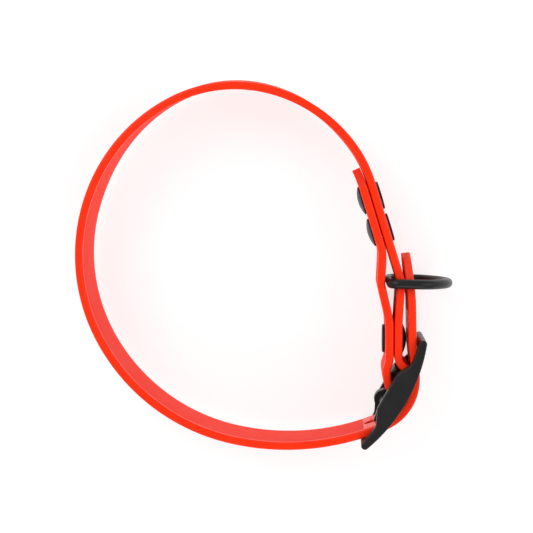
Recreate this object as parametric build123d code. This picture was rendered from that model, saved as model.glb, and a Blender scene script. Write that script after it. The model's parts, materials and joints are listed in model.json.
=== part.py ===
"""A buckled dog collar of coated webbing, lying on its edge.

One strap is folded round a bar of the buckle, turned back inside the collar and held by three
two-part screws, with a D-ring caught between the layers.  Its other end comes round the neck,
through the buckle, and up through the D-ring as a tail.

The collar is drawn flat in X and Y, looking along its own axis, which is Z.  At the end all of it
is moved so that the middle of the foot of its box is the origin.
"""

import os
from math import asin, atan2, cos, degrees, radians, sin, tan

from build123d import *

# Strap
strap_width = 25.0
strap_thickness = 2.65
layer_gap = 0.3
clip_length = 6.0
clip_width = 6.5
clip_overrun = 1.5
tip_corner = 10.0
hole_width = 5.0
hole_pitch = 20.0
spare_holes = 2
used_hole_length = 10.6
used_hole_shift = -0.3

# Neck loop, from the riveted stretch over the crown and round to the buckle: turn in degrees, radius
loop_bends = [(20, 41.0), (40, 49.0), (40, 46.0), (40, 56.0), (50, 59.0), (50, 65.0), (33, 82.0)]
riveted_lean = 107.0

# Run of the free end through the buckle: leans in degrees
entry_lean = 20.0
lift_lean = 96.0
tail_lean = 91.0
tip_lean = 97.0
bow_radius = 17.0
lift_bend = 20.0
tail_bend = 60.0
tail_bend_place = 15.0
tail_length = 29.6

# Bends of the folded end: the turned-back layer leaving the middle screw, both layers above and
# below the seat of the lower screw, and both sides of the fold
leave_bend = 10.0
seat_top_bend = 12.0
inner_seat_foot_bend = 6.0
outer_seat_foot_bend = 4.0
fold_entry_bend = 5.0
fold_exit_bend = 3.5
fold_bulge = 0.5

# Buckle: a cast frame with two end bars and two middle bars
buckle_x = 51.3
buckle_y = -42.85
buckle_lean = 60.6
side_wall = 3.2
frame_opening = 26.0
bow_depth = 5.8
boss_height = 1.5
boss_half_length = 6.5
ramp_end = 11.8
end_bar_reach = 19.25
end_bar_set = 1.1
end_bar_radius = 1.25
middle_bar_spacing = 8.5
middle_bar_set = 0.15
middle_bar_radius = 1.6
frame_edge_round = 0.6
ramp_round = 4.0
boss_round = 0.5

# Tongue of the buckle
hub_radius = 3.3
hub_width = 5.2
hub_clearance = 0.06
tongue_width = 3.8
tongue_thickness = 2.0
tongue_overhang = 1.2
tongue_notch = 0.5
tongue_tip_round = 1.5

# D-ring
ring_x = 51.3
ring_y = -6.9
ring_lean = -1.5
ring_wire_radius = 1.6
ring_inner_width = 25.8
ring_depth = 19.2
ring_leg = 8.4
ring_shoulder_radius = 7.5
ring_corner_radius = 2.4

# Two-part screws
post_radius = 2.5
screw_radius = 1.6
head_radius = 4.75
dome_height = 1.6
flat_height = 0.9
head_edge = 0.5
upper_rivet_place = 28.5
middle_rivet_place = 17.4
turned_back_length = 39.3
lower_rivet_x = 53.8
lower_rivet_y = -26.2
seat_margin = 0.3
seat_bend = 1.6
post_floor = 1.0
shank_end_gap = 0.5
slot_length = 6.0
slot_width = 1.0
slot_depth = 0.4

# Clearances between pieces
body_gap = 0.35
bar_pass_gap = 0.75
seat_gap = 0.03
hole_gap = 0.1
thread_gap = 0.05

half_strap = strap_thickness / 2
half_width = strap_width / 2
stack_step = strap_thickness + layer_gap


# ---- Lines of straight runs and round bends, each a list of pieces (point, heading, length, curl) ----
# A heading is in radians, and a curl is one over the radius, above zero where the line turns left.


def left_of(heading):
    return Vector(-sin(heading), cos(heading))


def along(heading):
    return Vector(cos(heading), sin(heading))


def piece_point(piece, distance):
    """Point and heading on a piece, at a distance from its start."""
    start, heading, _, curl = piece
    if curl == 0:
        return start + along(heading) * distance, heading
    turned = heading + distance * curl
    return start + (left_of(heading) - left_of(turned)) * (1 / curl), turned


def line_point(line, distance):
    """Point and heading on a line, at a distance from its start."""
    for piece in line[:-1]:
        if distance <= piece[2]:
            return piece_point(piece, distance)
        distance -= piece[2]
    return piece_point(line[-1], distance)


def line_length(line):
    return sum(piece[2] for piece in line)


def beside(line, offset):
    """The same line, moved to its left by an offset."""
    moved = []
    for start, heading, length, curl in line:
        shrink = 1 - offset * curl
        moved.append((start + left_of(heading) * offset, heading, length * shrink, curl / shrink))
    return moved


def stretch(line, first, last):
    """The part of a line between two distances from its start."""
    kept = []
    for piece in line:
        begin = max(first, 0)
        finish = min(last, piece[2])
        if finish > begin:
            start, heading = piece_point(piece, begin)
            kept.append((start, heading, finish - begin, piece[3]))
        first -= piece[2]
        last -= piece[2]
    return kept


def backwards(line):
    """The same line, run from its end to its start."""
    turned = []
    for piece in reversed(line):
        end, heading = piece_point(piece, piece[2])
        turned.append((end, heading + radians(180), piece[2], -piece[3]))
    return turned


def round_stations(stations):
    """A line past stations (point, radius, wraps).

    The first and last stations are the ends.  Where wraps is 0 the point is a corner that is
    rounded to the radius.  Where it is 1 or -1 the line lies round the point at that radius,
    and passes it turning left or right.
    """
    reach = [radius * wraps for _, radius, wraps in stations]
    headings = []
    for (here, _, _), (there, _, _), near, far in zip(stations, stations[1:], reach, reach[1:]):
        way = there - here
        headings.append(atan2(way.Y, way.X) - asin((far - near) / way.length))
    line = []
    at = stations[0][0]
    for (point, radius, wraps), h_in, h_out in zip(stations[1:-1], headings, headings[1:]):
        turn = (h_out - h_in + radians(180)) % radians(360) - radians(180)
        if wraps and turn * wraps < 0:
            turn += wraps * radians(360)
        if wraps:
            touch = point - left_of(h_in) * (radius * wraps)
        else:
            touch = point - along(h_in) * (radius * tan(abs(turn) / 2))
        line.append((at, h_in, (touch - at).length, 0))
        if turn:
            bend = (touch, h_in, radius * abs(turn), (1 if turn > 0 else -1) / radius)
            line.append(bend)
            at = piece_point(bend, bend[2])[0]
        else:
            at = touch
    line.append((at, headings[-1], (stations[-1][0] - at).length, 0))
    return line


def piece_edge(piece):
    """The build123d edge of one piece."""
    start, _, length, curl = piece
    end = piece_point(piece, length)[0]
    if curl == 0:
        return Edge.make_line(start, end)
    return Edge.make_three_point_arc(start, piece_point(piece, length / 2)[0], end)


def cylinder_z(x, y, radius, height):
    return Pos(x, y, 0) * Cylinder(radius, height)


# ---- Where the hardware is ----

buckle_middle = Vector(buckle_x, buckle_y)
frame_way = along(radians(buckle_lean))
frame_inward = left_of(radians(buckle_lean))


def on_frame(along_frame, inward):
    """A point of the buckle, from its middle: along it to the rear, and towards the neck."""
    return buckle_middle + frame_way * along_frame + frame_inward * inward


strap_bar = on_frame(middle_bar_spacing / 2, -middle_bar_set)
tongue_bar = on_frame(-middle_bar_spacing / 2, -middle_bar_set)
rear_bar = on_frame(end_bar_reach, -end_bar_set)
front_bar = on_frame(-end_bar_reach, -end_bar_set)
ring_bar = Vector(ring_x, ring_y)
lower_rivet = Vector(lower_rivet_x, lower_rivet_y)

# ---- Middle line of the strap ----

fold_radius = middle_bar_radius + body_gap + half_strap
ring_pass_radius = ring_wire_radius + body_gap + half_strap
up = radians(riveted_lean)
riveted_foot = ring_bar - left_of(up) * ring_pass_radius

# The run in past the front bar and the run up past the rear bar meet at a corner, rounded as a bow
entry_way = radians(entry_lean)
lift_way = radians(lift_lean)
bar_pass = end_bar_radius + bar_pass_gap + half_strap
entry_point = front_bar + left_of(entry_way) * bar_pass
tail_foot = rear_bar + left_of(lift_way) * bar_pass
span = entry_point - tail_foot
corner_reach = (span.X * sin(lift_way) - span.Y * cos(lift_way)) / sin(lift_way - entry_way)
bow_corner = entry_point - along(entry_way) * corner_reach
tail_middle = tail_foot + along(radians(tail_lean)) * tail_bend_place
tail_tip = tail_middle + along(radians(tip_lean)) * (tail_length - tail_bend_place)

# A straight run at each end of the neck loop takes up what its bends leave open
bends = []
spot = Vector(0, 0)
heading = up
for turn, radius in loop_bends:
    bends.append((spot, heading, radians(turn) * radius, 1 / radius))
    spot, heading = piece_point(bends[-1], bends[-1][2])
open_way = bow_corner - riveted_foot - spot
upper_run = (open_way.Y * cos(heading) - open_way.X * sin(heading)) / sin(up - heading)
loop_start = riveted_foot + along(up) * upper_run
loop = [(riveted_foot, up, upper_run, 0)]
loop += [(loop_start + start, way, length, curl) for start, way, length, curl in bends]

# Tail: from the last bend of the loop, through the buckle and up through the D-ring
tail = round_stations(
    [
        (loop_start + spot, 0, 0),
        (bow_corner, bow_radius, 0),
        (tail_foot, lift_bend, 0),
        (tail_middle, tail_bend, 0),
        (tail_tip, 0, 0),
    ]
)

# Turned-back layer beside the riveted stretch, then clear of the D-ring and down to the fold, round
# the strap bar, and up outside the D-ring to the riveted stretch
seat_half = head_radius + seat_margin
leave_place = middle_rivet_place - seat_half
turned_back = backwards(stretch(beside(loop, stack_step), middle_rivet_place, turned_back_length))
seat_step = Vector(0, seat_half + seat_bend)
inner_rivet = lower_rivet - Vector(stack_step, 0)
fold_line = round_stations(
    [
        (riveted_foot + left_of(up) * stack_step + along(up) * middle_rivet_place, 0, 0),
        (riveted_foot + left_of(up) * stack_step + along(up) * (leave_place - seat_bend), leave_bend, 0),
        (ring_bar, ring_pass_radius, 1),
        (inner_rivet + seat_step, seat_top_bend, 0),
        (inner_rivet - seat_step, inner_seat_foot_bend, 0),
        (strap_bar + Vector(-fold_radius - fold_bulge, fold_radius), fold_entry_bend, 0),
        (strap_bar, fold_radius, 1),
        (strap_bar + Vector(fold_radius, fold_radius), fold_exit_bend, 0),
        (lower_rivet - seat_step, outer_seat_foot_bend, 0),
        (lower_rivet + seat_step, seat_top_bend, 0),
        (ring_bar, ring_pass_radius, 1),
        (loop_start, 0, 0),
    ]
)
strap_line = turned_back + fold_line + loop[1:] + tail

# ---- Solids ----


def slab(face, low, high):
    """A flat face in X and Y, thickened between two heights."""
    return extrude(Pos(0, 0, low) * face, high - low)


def placed(point, heading):
    """A place whose X runs along the heading, whose Y points left of it, and whose Z is Z."""
    return Location((point.X, point.Y, 0), (0, 0, degrees(heading)))


def across(point, heading):
    """A place whose Z points left of the heading, and whose X runs along it."""
    return placed(point, heading) * Location((0, 0, 0), (-90, 0, 0))


# Strap: the band between its two sides, then its ends, screw holes and adjustment holes
right_side = [piece_edge(piece) for piece in beside(strap_line, -half_strap)]
left_side = [piece_edge(piece) for piece in beside(strap_line, half_strap)]
cap_places = (0, line_length(strap_line))
caps = []
for place in cap_places:
    point, heading = line_point(strap_line, place)
    side = left_of(heading) * half_strap
    caps.append(Edge.make_line(point - side, point + side))
band = Face(Wire.combine(right_side + left_side + caps)[0])
strap = slab(band, -half_width, half_width)

# The cutter of a clipped corner runs on past the end of the strap, along the line of the clip
clip_reach = half_strap + layer_gap / 2
point, heading = line_point(strap_line, clip_length / 2)
run_on = clip_length / 2 - clip_length * clip_overrun
for side in (1, -1):
    low_corner = (run_on, -side * clip_width * clip_overrun)
    clip = Polygon((run_on, 0), (clip_length / 2, 0), low_corner, align=None)
    corner = across(point, heading) * Pos(0, side * half_width, 0)
    strap -= corner * extrude(clip, clip_reach, both=True)

# The tip keeps what is inside a rectangle with round corners
tip_reach = half_strap + layer_gap
tip_blank = Rectangle(4 * tip_corner, 2 * strap_width)
tip_shape = fillet(Rectangle(4 * tip_corner, strap_width).vertices(), tip_corner)
tip_cut = extrude(tip_blank - tip_shape, tip_reach, both=True)
tip_half = Pos(2 * tip_corner, 0, 0) * Box(2 * tip_corner, 2 * strap_width, 2 * tip_reach)
point, heading = line_point(strap_line, line_length(strap_line))
strap -= across(point - along(heading) * 2 * tip_corner, heading) * (tip_cut & tip_half)

# Tongue line, from the middle of its bar to over the front end bar
tongue_rise = end_bar_radius - tongue_notch + body_gap + tongue_thickness / 2
tongue_end = front_bar - frame_inward * tongue_rise
tongue_way = atan2((tongue_end - tongue_bar).Y, (tongue_end - tongue_bar).X)


def tongue_miss(place):
    """How far the strap's line at a place is from the tongue's line."""
    return abs((line_point(strap_line, place)[0] - tongue_bar).dot(left_of(tongue_way)))


fold_to_tip = line_length(tail) - tail[0][2]
tail_start = line_length(strap_line) - fold_to_tip
search_step = 0.02
search = [tail_start + i * search_step for i in range(int(bow_radius / search_step))]
used_hole = min(search, key=tongue_miss)
long_hole = SlotOverall(used_hole_length, hole_width)
long_place = across(*line_point(strap_line, used_hole + used_hole_shift))
strap -= long_place * extrude(long_hole, strap_thickness, both=True)
for i in range(1, spare_holes + 1):
    place = across(*line_point(strap_line, used_hole + i * hole_pitch))
    strap -= place * Cylinder(hole_width / 2, 2 * tip_reach)

# Two-part screws: a post with a domed head, and a screw with a flat head in its bore
upper_places = [line_point(loop, upper_rivet_place), line_point(loop, middle_rivet_place)]
rivets = {}
for name, (point, heading) in zip(("upper", "middle"), upper_places):
    middle = point + left_of(heading) * (stack_step / 2)
    rivets[name] = placed(middle, heading) * Location((0, 0, 0), (-90, 0, 0))
lower_middle = (lower_rivet + inner_rivet) * 0.5
rivets["lower"] = placed(lower_middle, radians(-90)) * Location((0, 0, 0), (-90, 0, 0))
stack_half = strap_thickness + layer_gap / 2

# Each is drawn along Z, with its domed head on the side that Z points to
dome_start = stack_half + seat_gap
dome_radius = (head_radius**2 + (dome_height - head_edge) ** 2) / (2 * (dome_height - head_edge))
dome = Pos(0, 0, dome_start + dome_height - dome_radius) * Sphere(dome_radius)
head_blank = Pos(0, 0, dome_start + dome_height / 2) * Cylinder(head_radius, dome_height)
bore_depth = 2 * stack_half - post_floor
barrel = Cylinder(post_radius, 2 * stack_half + seat_gap)
post = (head_blank & dome) + Pos(0, 0, seat_gap / 2) * barrel
bore = Pos(0, 0, -stack_half + bore_depth / 2) * Cylinder(screw_radius + thread_gap, bore_depth)
post -= bore
flat_head = Pos(0, 0, -stack_half - seat_gap - flat_height / 2) * Cylinder(head_radius, flat_height)
flat_head = chamfer(flat_head.edges().sort_by(Axis.Z)[:1], head_edge / 2)
slot_cut = Pos(0, 0, -stack_half - seat_gap - flat_height) * Box(slot_length, slot_width, 2 * slot_depth)
shank_length = bore_depth - shank_end_gap + seat_gap
shank = Pos(0, 0, -stack_half - seat_gap + shank_length / 2) * Cylinder(screw_radius, shank_length)
screw = flat_head - slot_cut + shank
for place in rivets.values():
    strap -= place * Cylinder(post_radius + hole_gap, 2 * stack_step)

# Buckle frame, drawn along X with the neck side at +Y, then placed
wall_foot = frame_opening / 2
wall_top = wall_foot + side_wall
bow_rise = bow_depth - end_bar_set
bow_circle = (end_bar_reach**2 + bow_rise**2 - end_bar_radius**2) / (2 * (bow_rise - end_bar_radius))
bow_centre = Vector(0, bow_circle - bow_depth)
end_centre = Vector(end_bar_reach, -end_bar_set)
end_way = (end_centre - bow_centre).normalized()
bow_end = bow_centre + end_way * bow_circle
end_tip = end_centre + Vector(end_bar_radius, 0)
end_top = end_centre + Vector(0, end_bar_radius)
ramp_foot = Vector(ramp_end, -end_bar_set)
boss_corner = Vector(boss_half_length, boss_height)


def mirrored(point):
    return Vector(-point.X, point.Y)


def frame_outline():
    end_middle = end_centre + (end_way + Vector(1, 0)).normalized() * end_bar_radius
    end_shoulder = end_centre + Vector(1, 1).normalized() * end_bar_radius
    edges = [
        Edge.make_three_point_arc(mirrored(bow_end), Vector(0, -bow_depth), bow_end),
        Edge.make_three_point_arc(bow_end, end_middle, end_tip),
        Edge.make_three_point_arc(end_tip, end_shoulder, end_top),
        Edge.make_line(end_top, ramp_foot),
        Edge.make_line(ramp_foot, boss_corner),
        Edge.make_line(boss_corner, mirrored(boss_corner)),
        Edge.make_line(mirrored(boss_corner), mirrored(ramp_foot)),
        Edge.make_line(mirrored(ramp_foot), mirrored(end_top)),
        Edge.make_three_point_arc(mirrored(end_top), mirrored(end_shoulder), mirrored(end_tip)),
        Edge.make_three_point_arc(mirrored(end_tip), mirrored(end_middle), mirrored(bow_end)),
    ]
    return Face(Wire.combine(edges)[0])


outline = frame_outline()
for corner, radius in ((ramp_foot, ramp_round), (boss_corner, boss_round)):
    for spot in (corner, mirrored(corner)):
        outline = fillet(outline.vertices().sort_by_distance(spot)[:1], radius)
wall = slab(outline, wall_foot, wall_top)
outer_edges = wall.edges().group_by(Axis.Z)[-1]
wall = fillet(outer_edges, frame_edge_round)
frame = wall + mirror(wall, Plane.XY)
bar_length = frame_opening + side_wall
for end in (1, -1):
    frame += cylinder_z(end * end_bar_reach, -end_bar_set, end_bar_radius, bar_length)
    frame += cylinder_z(end * middle_bar_spacing / 2, -middle_bar_set, middle_bar_radius, bar_length)

# The strap's bar has a corner that runs out to the rear corner of the boss, flush with its walls
bar_spot = Vector(middle_bar_spacing / 2, -middle_bar_set)
to_corner = boss_corner - bar_spot
corner_way = atan2(to_corner.Y, to_corner.X)
touch_turn = radians(90) - asin(middle_bar_radius / to_corner.length)
wedge_points = [boss_corner]
for side in (1, -1):
    wedge_points.append(bar_spot + along(corner_way + side * touch_turn) * middle_bar_radius)
wedge = Polygon(*[(p.X, p.Y) for p in wedge_points], align=None)
frame += slab(wedge, -bar_length / 2, bar_length / 2)

# The front end bar is notched where the tongue rests on it
notch_width = tongue_width + 2 * body_gap
notch_place = Pos(-end_bar_reach, -end_bar_set - end_bar_radius, 0)
frame -= notch_place * Box(4 * end_bar_radius, 2 * tongue_notch, notch_width)
frame_place = placed(buckle_middle, radians(buckle_lean))
buckle_frame = frame_place * frame

# Tongue: a hub round its bar and a shank through the strap to the front end bar
shank_reach = (tongue_end - tongue_bar).length + tongue_overhang
tongue_plan = Pos(shank_reach / 2, 0, 0) * Box(shank_reach, tongue_thickness, tongue_width)
tip_edges = tongue_plan.edges().filter_by(Axis.Y).sort_by(Axis.X)[-2:]
tongue_plan = fillet(tip_edges, tongue_tip_round)
tongue = Cylinder(hub_radius, hub_width) + tongue_plan
tongue -= Cylinder(middle_bar_radius + hub_clearance, 2 * hub_width)
buckle_tongue = placed(tongue_bar, tongue_way) * tongue

# D-ring: a round wire along its bar, round two corners and over the bow
half_bar = ring_inner_width / 2 + ring_wire_radius
bow_reach = ring_depth - ring_leg
big_radius = half_bar**2 + bow_reach**2 - 2 * half_bar * ring_shoulder_radius
big_radius /= 2 * (bow_reach - ring_shoulder_radius)
big_centre = Vector(ring_depth - big_radius, 0)
shoulder_centre = Vector(ring_leg, half_bar - ring_shoulder_radius)
shoulder_end = big_centre + (shoulder_centre - big_centre).normalized() * big_radius
bow_half_turn = atan2(shoulder_end.Y - big_centre.Y, shoulder_end.X - big_centre.X)
corner = ring_corner_radius
wire_line = [(Vector(0, 0), radians(-90), half_bar - corner, 0)]
for length, curl in (
    (radians(90) * corner, 1 / corner),
    (ring_leg - corner, 0),
    (ring_shoulder_radius * (radians(90) - bow_half_turn), 1 / ring_shoulder_radius),
    (2 * big_radius * bow_half_turn, 1 / big_radius),
    (ring_shoulder_radius * (radians(90) - bow_half_turn), 1 / ring_shoulder_radius),
    (ring_leg - corner, 0),
    (radians(90) * corner, 1 / corner),
    (half_bar - corner, 0),
):
    start, heading = piece_point(wire_line[-1], wire_line[-1][2])
    wire_line.append((start, heading, length, curl))
wire_path = Wire([piece_edge(piece) for piece in wire_line])
wire_section = Plane.XZ * Circle(ring_wire_radius)
ring = sweep(wire_section, wire_path)
d_ring = placed(ring_bar, radians(ring_lean)) * Rot(90, 0, 0) * ring

parts = {
    "strap": strap,
    "buckle_frame": buckle_frame,
    "buckle_tongue": buckle_tongue,
    "d_ring": d_ring,
}
for name, place in rivets.items():
    parts[name + "_rivet_post"] = place * post
    parts[name + "_rivet_screw"] = place * screw

# The middle of the foot of the whole collar's box becomes the origin
box = Compound(children=[Compound(part.solids()) for part in parts.values()]).bounding_box()
shift = Pos(-(box.min.X + box.max.X) / 2, -(box.min.Y + box.max.Y) / 2, -box.min.Z)
os.makedirs("parts", exist_ok=True)
for name, part in parts.items():
    export_step(shift * part, "parts/" + name + ".step")
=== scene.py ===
"""A buckled dog collar of coated webbing, laid on its edge on a pale table.

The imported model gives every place.  The strap is drawn anew along the middle line of its plain CAD
solid, and the buckle, the D-ring and the two-part screws keep their CAD shapes under new finishes.
Lengths are in metres.
"""

import json
from math import ceil, cos, pi, radians, sin, sqrt

import bmesh
import bpy
from mathutils import Matrix, Vector


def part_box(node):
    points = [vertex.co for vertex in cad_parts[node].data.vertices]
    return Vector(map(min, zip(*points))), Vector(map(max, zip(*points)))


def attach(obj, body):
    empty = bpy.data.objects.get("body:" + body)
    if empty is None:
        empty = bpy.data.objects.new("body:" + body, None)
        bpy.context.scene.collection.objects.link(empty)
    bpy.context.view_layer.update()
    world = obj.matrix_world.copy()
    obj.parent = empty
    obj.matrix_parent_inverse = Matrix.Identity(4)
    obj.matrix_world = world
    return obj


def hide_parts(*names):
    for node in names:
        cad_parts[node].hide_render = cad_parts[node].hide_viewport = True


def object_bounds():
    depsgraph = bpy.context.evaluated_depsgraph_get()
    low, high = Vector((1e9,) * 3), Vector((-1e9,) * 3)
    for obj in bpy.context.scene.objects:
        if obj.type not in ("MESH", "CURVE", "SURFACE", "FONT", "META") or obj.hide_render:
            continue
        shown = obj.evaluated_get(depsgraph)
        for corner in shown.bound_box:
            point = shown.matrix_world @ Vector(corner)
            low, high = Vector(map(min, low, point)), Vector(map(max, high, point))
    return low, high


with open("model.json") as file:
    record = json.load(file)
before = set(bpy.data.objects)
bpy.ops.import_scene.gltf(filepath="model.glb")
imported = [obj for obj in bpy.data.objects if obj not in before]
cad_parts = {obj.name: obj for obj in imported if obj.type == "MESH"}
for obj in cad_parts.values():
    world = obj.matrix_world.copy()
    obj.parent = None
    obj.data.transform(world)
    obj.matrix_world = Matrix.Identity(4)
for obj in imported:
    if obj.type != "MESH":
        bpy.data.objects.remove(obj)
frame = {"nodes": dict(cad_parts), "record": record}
cad_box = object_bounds()

# ---- Camera ----
# A long lens high above the collar, a little towards its buckle, that looks down into the neck
# opening.  The image is square, with +Y up.

strap_low, strap_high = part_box("strap")
camera_height = 0.509
camera_foot = Vector((0.0256, 0.0290, strap_high.z))
camera_aim = Vector((0.0009, 0.0003, strap_high.z))
lens_length = 104.9

camera = bpy.data.objects.new("camera", bpy.data.cameras.new("camera"))
camera.data.lens = lens_length
camera.data.sensor_width = 36
camera.data.clip_end = 20
camera.location = camera_foot + Vector((0, 0, camera_height))
backwards = (camera.location - camera_aim).normalized()
rightwards = Vector((0, 1, 0)).cross(backwards).normalized()
upwards = backwards.cross(rightwards)
camera.rotation_euler = Matrix((rightwards, upwards, backwards)).transposed().to_euler()
bpy.context.scene.collection.objects.link(camera)
bpy.context.scene.camera = camera
bpy.context.scene.view_settings.view_transform = "Standard"


# ---- Table and lights ----
# A matt white light table in a bright white room, with large soft boxes round it.  The table's own
# glow keeps the shadows pale, and glossy edges catch a thin clean line.

table_half = 3.0
table_colour = (0.35, 0.35, 0.35, 1)
table_glow = 0.72
room_strength = 0.55
softboxes = (
    # place, width, height, power
    ((-0.75, 0.75, 1.15), 0.9, 0.9, 9.0),
    ((0.95, 0.15, 0.85), 0.6, 0.9, 4.0),
    ((0.10, -1.05, 0.75), 1.0, 0.5, 4.0),
)


def new_material(name):
    """A material, its node tree and its Principled shader."""
    material = bpy.data.materials.new(name)
    material.use_nodes = True
    return material, material.node_tree, material.node_tree.nodes["Principled BSDF"]


table_mesh = bpy.data.meshes.new("table_top")
table_corners = []
for x, y in ((-1, -1), (1, -1), (1, 1), (-1, 1)):
    table_corners.append((x * table_half, y * table_half, cad_box[0][2]))
table_mesh.from_pydata(table_corners, [], [(0, 1, 2, 3)])
table_top = bpy.data.objects.new("table_top", table_mesh)
bpy.context.scene.collection.objects.link(table_top)
paper, _, paper_shader = new_material("white_table")
paper_shader.inputs["Base Color"].default_value = table_colour
paper_shader.inputs["Roughness"].default_value = 0.9
paper_shader.inputs["Emission Color"].default_value = (1, 1, 1, 1)
paper_shader.inputs["Emission Strength"].default_value = table_glow
table_mesh.materials.append(paper)

room = bpy.data.worlds.new("room")
room.use_nodes = True
room.node_tree.nodes["Background"].inputs["Color"].default_value = (1, 1, 1, 1)
room.node_tree.nodes["Background"].inputs["Strength"].default_value = room_strength
bpy.context.scene.world = room
for number, (place, width, height, power) in enumerate(softboxes):
    lamp = bpy.data.lights.new(f"softbox_{number}", "AREA")
    lamp.shape = "RECTANGLE"
    lamp.size = width
    lamp.size_y = height
    lamp.energy = power
    softbox = bpy.data.objects.new(f"softbox_{number}", lamp)
    softbox.location = place
    softbox.rotation_euler = Vector(place).to_track_quat("Z", "Y").to_euler()
    bpy.context.scene.collection.objects.link(softbox)


# ---- Strap ----
# One length of woven webbing under a thick orange polyurethane skin, extruded flat with round edges
# and then cut to length: the turned-back end has its corners clipped, the free end is rounded off,
# and the tongue's holes are punched.  It is drawn along the middle line of the CAD solid.

strap_thickness = 0.00265
strap_edge_round = 0.0007
edge_round_steps = 4
clip_length = 0.006
clip_depth = 0.0065
turned_back_bend = 0.038
tip_corner = 0.010
station_step = 0.001
same_place = 1e-5
wall_slope_limit = 0.5
corner_cosine = 0.7
hole_pitch = 0.020
hole_radius = 0.0025
hole_count = 3
used_hole_length = 0.0106
used_hole_shift = -0.0003
hole_sides = 48
hole_flare = 0.0004
hole_reach = 0.0003
crown_lean = 0.0021
crown_middle = radians(100)
crown_half = radians(60)
neck_middle = Vector((-0.0095, 0.0018, 0))

strap_width = strap_high.z - strap_low.z
strap_middle = (strap_high.z + strap_low.z) / 2


def left_of(direction):
    """A level direction turned a quarter to the left."""
    return Vector((-direction.y, direction.x, 0))


def strap_side(cad_mesh, height):
    """One long side of the strap's top outline, from the turned-back end: points and directions.

    The edges of the top face's triangles that have no twin running the other way are its outline.
    They run with the strap on their left.  The walls' normals give the exact directions.
    """

    def flat_key(index):
        x, y, _ = cad_mesh.vertices[index].co
        return round(x, 6), round(y, 6)

    outward = {}
    following = {}
    for polygon in cad_mesh.polygons:
        on_top = [abs(cad_mesh.vertices[index].co.z - height) < same_place for index in polygon.vertices]
        if all(on_top):
            keys = [flat_key(index) for index in polygon.vertices]
            for here, there in zip(keys, keys[1:] + keys[:1]):
                if following.get(there, {}).pop(here, None) is None:
                    following.setdefault(here, {})[there] = True
        elif abs(polygon.normal.z) < wall_slope_limit:
            for loop in polygon.loop_indices:
                index = cad_mesh.loops[loop].vertex_index
                if abs(cad_mesh.vertices[index].co.z - height) < same_place:
                    normal = cad_mesh.corner_normals[loop].vector
                    outward.setdefault(flat_key(index), []).append(normal)
    start = next(key for key, nexts in following.items() if nexts)
    outline = [start]
    while len(outline) < 2 or outline[-1] != start:
        outline.append(next(iter(following[outline[-1]])))
    outline.pop()

    points = [Vector((x, y, 0)) for x, y in outline]
    count = len(points)
    ways = [(points[(i + 1) % count] - points[i]).normalized() for i in range(count)]
    corners = [i for i in range(count) if ways[i - 1].dot(ways[i]) < corner_cosine]
    sides = []
    for first, last in zip(corners, corners[1:] + [corners[0] + count]):
        sides.append([i % count for i in range(first, last + 1)])
    turned_back_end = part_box("upper_rivet_post")[0]
    long_sides = sorted(sides, key=len)[-2:]
    side = min(long_sides, key=lambda run: (points[run[0]] - turned_back_end).length)
    directions = [ways[side[0]]]
    for i in side[1:-1]:
        normal = sum(outward[outline[i]], Vector())
        directions.append(left_of(normal).normalized())
    directions.append(ways[side[-2]])
    return [points[i] for i in side], directions


def middle_line(points, directions):
    """Stations along the strap: (distance from the turned-back end, point, direction).

    The clipped end lies beyond the side's first point and keeps to the bend of the loop beside it,
    and the rounded tip runs on straight.  Between points of the side the line is a smooth curve.
    """
    half = strap_thickness / 2
    centres = [point + left_of(way) * half for point, way in zip(points, directions)]
    stations = []
    steps = ceil(clip_length / station_step)
    for i in range(steps):
        back = clip_length * (1 - i / steps)
        turn = back / turned_back_bend
        way = Matrix.Rotation(turn, 3, "Z") @ directions[0]
        point = centres[0] + (left_of(way) - left_of(directions[0])) * turned_back_bend
        stations.append((clip_length - back, point, way))
    distance = clip_length
    runs = zip(centres, centres[1:], directions, directions[1:])
    for here, there, way_out, way_in in runs:
        chord = (there - here).length
        steps = max(1, ceil(chord / station_step))
        for i in range(steps):
            t = i / steps
            point = here * (2 * t**3 - 3 * t**2 + 1) + there * (3 * t**2 - 2 * t**3)
            point += way_out * chord * (t**3 - 2 * t**2 + t) + way_in * chord * (t**3 - t**2)
            stations.append((distance + chord * t, point, way_out.lerp(way_in, t).normalized()))
        distance += chord
    steps = ceil(tip_corner / station_step * 2)
    for i in range(steps + 1):
        onward = tip_corner * sin(pi / 2 * i / steps)
        stations.append((distance + onward, centres[-1] + directions[-1] * onward, directions[-1]))
    return stations


def narrowing(distance, length):
    """How far each edge of the strap is cut back at a distance along it."""
    if distance < clip_length:
        return clip_depth * (1 - distance / clip_length)
    past = max(0, distance - (length - tip_corner))
    return tip_corner - sqrt(max(0, tip_corner**2 - past**2))


def lean(point):
    """The far edge's step outwards, where the strap leans over the crown of the neck."""
    out = point - neck_middle
    turn = Vector((1, 0)).angle_signed(Vector((out.x, -out.y)), 0)
    off = min(1, abs(turn - crown_middle) / crown_half)
    return out.normalized() * (crown_lean * cos(off * pi / 2) ** 2)


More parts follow.
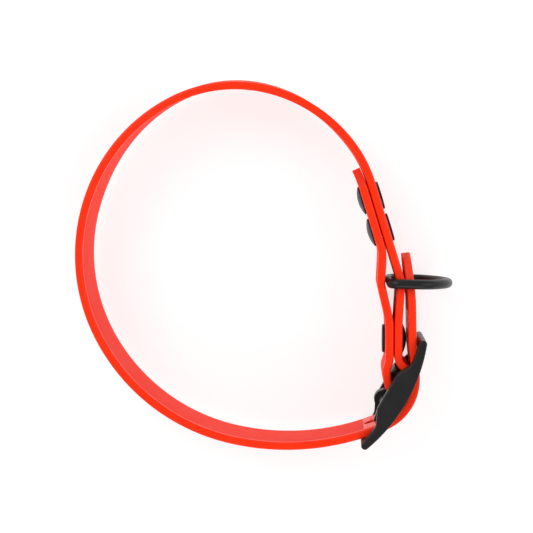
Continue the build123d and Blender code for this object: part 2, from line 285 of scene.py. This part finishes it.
def sweep_tree(material):
    """Geometry Nodes that draw a flat strap along its middle line."""
    tree = bpy.data.node_groups.new("strap_sweep", "GeometryNodeTree")
    tree.interface.new_socket("Middle Line", in_out="INPUT", socket_type="NodeSocketGeometry")
    for name in ("Width", "Thickness", "Edge Round", "Middle Height"):
        tree.interface.new_socket(name, in_out="INPUT", socket_type="NodeSocketFloat")
    tree.interface.new_socket("Round Steps", in_out="INPUT", socket_type="NodeSocketInt")
    tree.interface.new_socket("Skin", in_out="INPUT", socket_type="NodeSocketMaterial")
    tree.interface.new_socket("Strap", in_out="OUTPUT", socket_type="NodeSocketGeometry")
    node = tree.nodes.new
    link = tree.links.new
    sizes = node("NodeGroupInput").outputs

    def attribute(name, kind):
        reader = node("GeometryNodeInputNamedAttribute")
        reader.data_type = kind
        reader.inputs["Name"].default_value = name
        return reader.outputs["Attribute"]

    def math(operation, first, second):
        step = node("ShaderNodeMath")
        step.operation = operation
        for socket, value in zip(step.inputs, (first, second)):
            if isinstance(value, (int, float)):
                socket.default_value = value
            else:
                link(value, socket)
        return step.outputs[0]

    def store(geometry, name, kind, value):
        keeper = node("GeometryNodeStoreNamedAttribute")
        keeper.data_type = kind
        keeper.domain = "POINT"
        keeper.inputs["Name"].default_value = name
        link(geometry, keeper.inputs["Geometry"])
        link(value, keeper.inputs["Value"])
        return keeper.outputs["Geometry"]

    section = node("GeometryNodeCurvePrimitiveQuadrilateral")
    link(sizes["Thickness"], section.inputs["Width"])
    link(sizes["Width"], section.inputs["Height"])
    rounded = node("GeometryNodeFilletCurve")
    rounded.mode = "POLY"
    link(section.outputs["Curve"], rounded.inputs["Curve"])
    link(sizes["Round Steps"], rounded.inputs["Count"])
    link(sizes["Edge Round"], rounded.inputs["Radius"])
    section_place = node("GeometryNodeInputPosition").outputs["Position"]
    profile = store(rounded.outputs["Curve"], "section", "FLOAT_VECTOR", section_place)

    path = node("GeometryNodeMeshToCurve")
    link(sizes["Middle Line"], path.inputs["Mesh"])
    upright = node("GeometryNodeSetCurveNormal")
    upright.mode = "Z_UP"
    link(path.outputs["Curve"], upright.inputs["Curve"])
    swept = node("GeometryNodeCurveToMesh")
    swept.inputs["Fill Caps"].default_value = True
    link(upright.outputs["Curve"], swept.inputs["Curve"])
    link(profile, swept.inputs["Profile Curve"])

    place = node("ShaderNodeSeparateXYZ")
    link(node("GeometryNodeInputPosition").outputs["Position"], place.inputs[0])
    across = math("SUBTRACT", place.outputs["Z"], sizes["Middle Height"])
    half = math("MULTIPLY", sizes["Width"], 0.5)
    share = math("DIVIDE", across, half)
    cut_back = math("MULTIPLY", math("MULTIPLY", share, attribute("narrow", "FLOAT")), -1.0)
    far_share = math("MULTIPLY", math("SUBTRACT", 1.0, share), 0.5)
    leaned = node("ShaderNodeVectorMath")
    leaned.operation = "SCALE"
    link(attribute("lean", "FLOAT_VECTOR"), leaned.inputs[0])
    link(far_share, leaned.inputs["Scale"])
    lift = node("ShaderNodeCombineXYZ")
    link(cut_back, lift.inputs["Z"])
    step = node("ShaderNodeVectorMath")
    step.operation = "ADD"
    link(leaned.outputs[0], step.inputs[0])
    link(lift.outputs[0], step.inputs[1])

    through = node("ShaderNodeSeparateXYZ")
    link(attribute("section", "FLOAT_VECTOR"), through.inputs[0])
    strap_place = node("ShaderNodeCombineXYZ")
    link(attribute("distance", "FLOAT"), strap_place.inputs["X"])
    link(math("ADD", across, cut_back), strap_place.inputs["Y"])
    link(through.outputs["X"], strap_place.inputs["Z"])
    placed = store(swept.outputs["Mesh"], "strap_place", "FLOAT_VECTOR", strap_place.outputs[0])

    shaped = node("GeometryNodeSetPosition")
    link(placed, shaped.inputs["Geometry"])
    link(step.outputs[0], shaped.inputs["Offset"])
    real = node("GeometryNodeRealizeInstances")
    link(shaped.outputs["Geometry"], real.inputs["Geometry"])
    skin = node("GeometryNodeSetMaterial")
    link(real.outputs["Geometry"], skin.inputs["Geometry"])
    link(sizes["Skin"], skin.inputs["Material"])
    link(skin.outputs["Geometry"], node("NodeGroupOutput").inputs["Strap"])
    return tree


side_points, side_directions = strap_side(frame["nodes"]["strap"].data, strap_high.z)
stations = middle_line(side_points, side_directions)
strap_length = stations[-1][0]


def middle_object():
    """A bare line of edges through the stations, carrying what each station knows."""
    mesh = bpy.data.meshes.new("strap")
    lifted = [(point.x, point.y, strap_middle) for _, point, _ in stations]
    mesh.from_pydata(lifted, [(i, i + 1) for i in range(len(lifted) - 1)], [])
    distance = mesh.attributes.new("distance", "FLOAT", "POINT")
    narrow = mesh.attributes.new("narrow", "FLOAT", "POINT")
    leaning = mesh.attributes.new("lean", "FLOAT_VECTOR", "POINT")
    for i, (place, point, _) in enumerate(stations):
        distance.data[i].value = place
        narrow.data[i].value = narrowing(place, strap_length)
        leaning.data[i].vector = lean(point)
    piece = bpy.data.objects.new("strap", mesh)
    bpy.context.scene.collection.objects.link(piece)
    return piece


def punch(place, through, along, slot_length, reach, rim):
    """A punch for one hole: a round or a long bar whose ends may flare, to round off the rim."""
    tool = bmesh.new()
    rings = []
    for depth, flare in (
        (-reach, rim),
        (-strap_thickness / 2 + hole_flare, 0),
        (strap_thickness / 2 - hole_flare, 0),
        (reach, rim),
    ):
        ring = []
        for i in range(hole_sides):
            angle = 2 * pi * i / hole_sides
            side = slot_length / 2 - hole_radius
            x = (hole_radius + flare) * cos(angle) + (side if cos(angle) > 0 else -side)
            y = (hole_radius + flare) * sin(angle)
            ring.append(tool.verts.new(place + along * x + Vector((0, 0, 1)) * y + through * depth))
        rings.append(ring)
    for low, high in zip(rings, rings[1:]):
        for i in range(hole_sides):
            tool.faces.new((low[i - 1], low[i], high[i], high[i - 1]))
    tool.faces.new(rings[0])
    tool.faces.new(rings[-1])
    bmesh.ops.recalc_face_normals(tool, faces=tool.faces)
    return tool


def add_punches():
    """All of the punches as one object: the tip hole is a mount, and the rest follow at the pitch."""
    mounts = {mount["name"]: mount for mount in frame["record"]["mounts"]}
    tip_hole = Vector(mounts["spare_hole_near_tip"]["pos_m"])
    tail = [station for station in stations if station[0] > strap_length / 2]
    distance, point, way = min(tail, key=lambda station: (station[1].xy - tip_hole.xy).length)
    tip_place = distance + (tip_hole - point).xy.dot(way.xy)
    mesh = bpy.data.meshes.new("punches")
    whole = bmesh.new()
    for i in range(hole_count):
        used = i == hole_count - 1
        wanted = tip_place - i * hole_pitch + (used_hole_shift if used else 0)
        distance, point, way = min(stations, key=lambda station: abs(station[0] - wanted))
        place = Vector((point.x, point.y, strap_middle)) + way * (wanted - distance)
        if used:
            size = (used_hole_length, strap_thickness, 0)
        else:
            size = (2 * hole_radius, strap_thickness / 2 + hole_reach, hole_flare)
        tool = punch(place, left_of(way), way, *size)
        part = bpy.data.meshes.new("punch")
        tool.to_mesh(part)
        whole.from_mesh(part)
    whole.to_mesh(mesh)
    piece = bpy.data.objects.new("punches", mesh)
    bpy.context.scene.collection.objects.link(piece)
    return piece


def make_strap(material):
    """The strap's plain mesh: swept, leaned and cut back by the nodes, then punched."""
    drawn = middle_object()
    tree = sweep_tree(material)
    sweep = drawn.modifiers.new("sweep", "NODES")
    sweep.node_group = tree
    inputs = [item for item in tree.interface.items_tree if item.in_out == "INPUT"]
    sockets = {item.name: item.identifier for item in inputs}
    for name, value in (
        ("Width", strap_width),
        ("Thickness", strap_thickness),
        ("Edge Round", strap_edge_round),
        ("Middle Height", strap_middle),
        ("Round Steps", edge_round_steps),
        ("Skin", material),
    ):
        sweep[sockets[name]] = value
    punches = add_punches()
    holes = drawn.modifiers.new("holes", "BOOLEAN")
    holes.object = punches
    holes.solver = "EXACT"
    evaluated = drawn.evaluated_get(bpy.context.evaluated_depsgraph_get())
    mesh = bpy.data.meshes.new_from_object(evaluated)
    bpy.data.objects.remove(punches)
    bpy.data.objects.remove(drawn)
    return mesh


def value_of(tree, operation, first, second=0.0, third=0.0, clamp=False):
    """One step of arithmetic in a material's nodes: a socket or a number each."""
    step = tree.nodes.new("ShaderNodeMath")
    step.operation = operation
    step.use_clamp = clamp
    for socket, value in zip(step.inputs, (first, second, third)):
        if isinstance(value, (int, float)):
            socket.default_value = value
        else:
            tree.links.new(value, socket)
    return step.outputs[0]


def blended(tree, share, first, second):
    """A colour between two, by a share from 0 to 1."""
    mix = tree.nodes.new("ShaderNodeMix")
    mix.data_type = "RGBA"
    tree.links.new(share, mix.inputs["Factor"])
    for name, colour in (("A", first), ("B", second)):
        socket = next(s for s in mix.inputs if s.name == name and s.type == "RGBA")
        if isinstance(colour, tuple):
            socket.default_value = colour
        else:
            tree.links.new(colour, socket)
    return next(s for s in mix.outputs if s.type == "RGBA")


def shader_group(name, inputs, outputs):
    """An empty node group with named number and vector inputs, and number outputs."""
    group = bpy.data.node_groups.new(name, "ShaderNodeTree")
    for label, kind, value in inputs:
        socket = group.interface.new_socket(label, in_out="INPUT", socket_type=kind)
        if value is not None:
            socket.default_value = value
    for label in outputs:
        group.interface.new_socket(label, in_out="OUTPUT", socket_type="NodeSocketFloat")
    return group, group.nodes.new("NodeGroupInput").outputs, group.nodes.new("NodeGroupOutput").inputs


def placed_group(tree, group, values):
    """A group placed in a material with its own values: its outputs."""
    node = tree.nodes.new("ShaderNodeGroup")
    node.node_tree = group
    for name, value in values.items():
        if isinstance(value, (int, float)):
            node.inputs[name].default_value = value
        else:
            tree.links.new(value, node.inputs[name])
    return node.outputs


def make_grain():
    """Fine grain and slow mottling of a moulded or painted surface."""
    group, given, wanted = shader_group(
        "fine_grain",
        (("Grain Scale", "NodeSocketFloat", 1500.0), ("Mottle Scale", "NodeSocketFloat", 90.0)),
        ("Grain", "Mottle"),
    )
    spot = group.nodes.new("ShaderNodeTexCoord").outputs["Object"]
    for scale, output, detail in (("Grain Scale", "Grain", 2.0), ("Mottle Scale", "Mottle", 4.0)):
        noise = group.nodes.new("ShaderNodeTexNoise")
        noise.inputs["Detail"].default_value = detail
        group.links.new(spot, noise.inputs["Vector"])
        group.links.new(given[scale], noise.inputs["Scale"])
        group.links.new(noise.outputs[0], wanted[output])
    return group


def make_weave():
    """The relief of woven webbing: ribs along the strap, crossed by picks that step over and under."""
    group, given, wanted = shader_group(
        "webbing_weave",
        (
            ("Place", "NodeSocketVector", None),
            ("Rib Pitch", "NodeSocketFloat", 0.0015),
            ("Pick Pitch", "NodeSocketFloat", 0.0022),
        ),
        ("Relief",),
    )
    parts = group.nodes.new("ShaderNodeSeparateXYZ")
    group.links.new(given["Place"], parts.inputs[0])
    rib = value_of(group, "DIVIDE", parts.outputs["Y"], given["Rib Pitch"])
    stagger = value_of(group, "MULTIPLY", value_of(group, "FLOOR", rib), 0.5)
    along = value_of(group, "DIVIDE", parts.outputs["X"], given["Pick Pitch"])
    pick = value_of(group, "ADD", along, stagger)
    crowns = []
    for wave in (rib, pick):
        off_middle = value_of(group, "SUBTRACT", value_of(group, "FRACT", wave), 0.5)
        fall = value_of(group, "POWER", value_of(group, "ABSOLUTE", off_middle), 2.0)
        crowns.append(value_of(group, "SUBTRACT", 1.0, fall))
    crowned = value_of(group, "MULTIPLY", crowns[0], crowns[1])
    lowest = 0.75**2
    above = value_of(group, "SUBTRACT", crowned, lowest)
    relief = value_of(group, "MULTIPLY", above, 1 / (1 - lowest), clamp=True)
    group.links.new(relief, wanted["Relief"])
    return group


fine_grain = make_grain()
webbing_weave = make_weave()


def bump(tree, shader, height, strength, distance):
    """Feeds a height into a shader's normal."""
    node = tree.nodes.new("ShaderNodeBump")
    node.inputs["Strength"].default_value = strength
    node.inputs["Distance"].default_value = distance
    tree.links.new(height, node.inputs["Height"])
    tree.links.new(node.outputs["Normal"], shader.inputs["Normal"])


def coated_webbing():
    """The orange skin: smooth over the edges, with the weave showing faintly through its flats and its
    valleys darkened with painted shade.
    """
    material, tree, shader = new_material("orange_skin")
    reader = tree.nodes.new("ShaderNodeAttribute")
    reader.attribute_name = "strap_place"
    place = reader.outputs["Vector"]
    pitches = {"Rib Pitch": 0.0014, "Pick Pitch": 0.0021}
    weave = placed_group(tree, webbing_weave, {"Place": place, **pitches})
    grain = placed_group(tree, fine_grain, {"Grain Scale": 2600.0, "Mottle Scale": 110.0})
    parts = tree.nodes.new("ShaderNodeSeparateXYZ")
    tree.links.new(place, parts.inputs[0])
    face_depth = strap_thickness * 0.44
    face_step = 20000.0
    rim_width = 0.0012
    rim_fade = 1500.0
    from_middle = value_of(tree, "ABSOLUTE", parts.outputs["Z"])
    near_face = value_of(tree, "SUBTRACT", from_middle, face_depth)
    on_face = value_of(tree, "MULTIPLY", near_face, face_step, clamp=True)
    from_centre = value_of(tree, "ABSOLUTE", parts.outputs["Y"])
    inside_rim = value_of(tree, "SUBTRACT", strap_width / 2 - rim_width, from_centre)
    off_rim = value_of(tree, "MULTIPLY", inside_rim, rim_fade, clamp=True)
    flat = value_of(tree, "MULTIPLY", on_face, off_rim)
    woven = value_of(tree, "MULTIPLY", weave["Relief"], flat)
    coarse = value_of(tree, "MULTIPLY", woven, 0.8)
    fine = value_of(tree, "MULTIPLY", grain["Grain"], 0.25)
    bump(tree, shader, value_of(tree, "ADD", coarse, fine), 0.8, 0.00022)
    # Painted shade: on the flats the weave's valleys are darkened in the base colour itself, besides the
    # bump.
    painted_valley_shade = value_of(tree, "MULTIPLY", value_of(tree, "SUBTRACT", flat, woven), 0.55)
    shaded = blended(tree, painted_valley_shade, (1.0, 0.026, 0.0, 1), (0.66, 0.010, 0.0, 1))
    cloudy = value_of(tree, "SUBTRACT", grain["Mottle"], 0.45)
    mottled = value_of(tree, "MULTIPLY", cloudy, 0.8, clamp=True)
    orange = blended(tree, mottled, shaded, (1.0, 0.040, 0.003, 1))
    tree.links.new(orange, shader.inputs["Base Color"])
    dulled = value_of(tree, "MULTIPLY_ADD", grain["Mottle"], 0.2, 0.22)
    matt_flats = value_of(tree, "MULTIPLY_ADD", flat, 0.36, dulled)
    tree.links.new(matt_flats, shader.inputs["Roughness"])
    shader.inputs["Specular IOR Level"].default_value = 0.18
    shader.inputs["Coat Weight"].default_value = 0.04
    shader.inputs["Coat Roughness"].default_value = 0.20
    return material


def webbing_core():
    """The woven core where the strap is cut: dyed yarn ends in rows with painted shade in the gaps
    between them, without the skin's gloss.
    """
    material, tree, shader = new_material("cut_core")
    reader = tree.nodes.new("ShaderNodeAttribute")
    reader.attribute_name = "strap_place"
    turned = tree.nodes.new("ShaderNodeMapping")
    turned.inputs["Rotation"].default_value = (pi / 2, 0, 0)
    tree.links.new(reader.outputs["Vector"], turned.inputs["Vector"])
    pitches = {"Rib Pitch": 0.0006, "Pick Pitch": 0.0008}
    weave = placed_group(tree, webbing_weave, {"Place": turned.outputs[0], **pitches})
    grain = placed_group(tree, fine_grain, {"Grain Scale": 4200.0, "Mottle Scale": 400.0})
    fuzz = value_of(tree, "MULTIPLY", grain["Grain"], 0.6)
    bump(tree, shader, value_of(tree, "ADD", weave["Relief"], fuzz), 0.6, 0.00012)
    # Painted shade: the low gaps between the yarn ends are darker than the yarn's own dyed colour.
    yarn = blended(tree, weave["Relief"], (0.55, 0.012, 0.0, 1), (0.95, 0.030, 0.002, 1))
    dyed = blended(tree, grain["Mottle"], yarn, (0.9, 0.05, 0.01, 1))
    tree.links.new(dyed, shader.inputs["Base Color"])
    shader.inputs["Roughness"].default_value = 0.8
    return material


def show_core(mesh, core):
    """Gives the bare cut faces at both ends of the strap the look of the woven core."""
    mesh.materials.append(core)
    place = [Vector(item.vector) for item in mesh.attributes["strap_place"].data]
    flat_edge = strap_thickness / 2 - strap_edge_round * 0.6
    edge_depth = 0.0004
    end_touch = 1e-6
    for polygon in mesh.polygons:
        spots = [place[index] for index in polygon.vertices]
        middle = sum(spots, Vector()) / len(spots)
        cut = middle.x < clip_length or middle.x > strap_length - tip_corner
        places = [spot.x for spot in spots]
        capped = max(places) < end_touch or min(places) > strap_length - end_touch
        rim = strap_width / 2 - narrowing(middle.x, strap_length) - edge_depth
        if capped or (cut and abs(middle.y) > rim and abs(middle.z) < flat_edge):
            polygon.material_index = 1


strap_mesh = make_strap(coated_webbing())
show_core(strap_mesh, webbing_core())
strap_mesh.shade_smooth()
drawn_strap = bpy.data.objects.new("orange_strap", strap_mesh)
bpy.context.scene.collection.objects.link(drawn_strap)
even_shade = drawn_strap.modifiers.new("even_shade", "WEIGHTED_NORMAL")
even_shade.keep_sharp = True
even_shade.weight = 100
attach(drawn_strap, "strap")
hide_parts("strap")


# ---- Buckle, tongue and D-ring ----
# The frame and tongue are cast zinc and the ring is bent and welded steel wire.  All three are
# baked with the same satin black paint, which thins to a grey gleam along the outer edges.


def make_edge_wear():
    """Where paint has worn: along outer edges, broken up by fine scratches."""
    group, given, wanted = shader_group(
        "edge_wear",
        (("Reach", "NodeSocketFloat", 0.0004), ("Break Up", "NodeSocketFloat", 900.0)),
        ("Wear",),
    )
    softened = group.nodes.new("ShaderNodeBevel")
    softened.samples = 4
    group.links.new(given["Reach"], softened.inputs["Radius"])
    facing = group.nodes.new("ShaderNodeVectorMath")
    facing.operation = "DOT_PRODUCT"
    group.links.new(softened.outputs["Normal"], facing.inputs[0])
    group.links.new(group.nodes.new("ShaderNodeNewGeometry").outputs["Normal"], facing.inputs[1])
    edge_cosine = 0.97
    scratch_level = 0.42
    contrast = 5.0
    turned = value_of(group, "SUBTRACT", edge_cosine, facing.outputs["Value"])
    edge = value_of(group, "MULTIPLY", turned, contrast, clamp=True)
    noise = group.nodes.new("ShaderNodeTexNoise")
    noise.inputs["Detail"].default_value = 4.0
    group.links.new(group.nodes.new("ShaderNodeTexCoord").outputs["Object"], noise.inputs["Vector"])
    group.links.new(given["Break Up"], noise.inputs["Scale"])
    patchy = value_of(group, "SUBTRACT", noise.outputs[0], scratch_level)
    broken = value_of(group, "MULTIPLY", patchy, contrast, clamp=True)
    group.links.new(value_of(group, "MULTIPLY", edge, broken), wanted["Wear"])
    return group


edge_wear = make_edge_wear()


def black_paint(name, peel, worn, dullness):
    """Satin black paint: how coarse its skin is, how much its edges are worn and how dull it is."""
    material, tree, shader = new_material(name)
    grain = placed_group(tree, fine_grain, {"Grain Scale": peel, "Mottle Scale": 160.0})
    wear = placed_group(tree, edge_wear, {"Reach": 0.0004, "Break Up": 1100.0})
    rubbed = value_of(tree, "MULTIPLY", wear["Wear"], worn)
    cloudy = value_of(tree, "SUBTRACT", grain["Mottle"], 0.45)
    dusty = value_of(tree, "MULTIPLY", cloudy, 1.2, clamp=True)
    painted = blended(tree, dusty, (0.0070, 0.0070, 0.0072, 1), (0.0125, 0.0125, 0.0130, 1))
    black = blended(tree, rubbed, painted, (0.16, 0.16, 0.165, 1))
    tree.links.new(black, shader.inputs["Base Color"])
    dull = value_of(tree, "MULTIPLY_ADD", grain["Mottle"], 0.2, dullness)
    tree.links.new(dull, shader.inputs["Roughness"])
    tree.links.new(value_of(tree, "MULTIPLY", rubbed, 0.8), shader.inputs["Metallic"])
    shader.inputs["Specular IOR Level"].default_value = 0.3
    bump(tree, shader, grain["Grain"], 0.25, 0.00006)
    return material


def refinish(node, material):
    """A new finish on a carried-over CAD node."""
    for holder in frame["nodes"][node].material_slots:
        holder.material = material


cast_paint = black_paint("black_cast", 1400.0, 0.55, 0.30)
wire_paint = black_paint("black_wire", 2200.0, 0.45, 0.26)
for part, paint in (("buckle_frame", cast_paint), ("buckle_tongue", cast_paint), ("d_ring", wire_paint)):
    refinish(part, paint)


# ---- Two-part screws ----
# Three turned posts with domed heads, and three slotted screws in their bores, blackened in a drum
# so that their rims are rubbed more than the buckle's.

screw_black = black_paint("black_turned", 3000.0, 0.7, 0.24)
for which in ("upper", "middle", "lower"):
    for half in ("post", "screw"):
        refinish(f"{which}_rivet_{half}", screw_black)
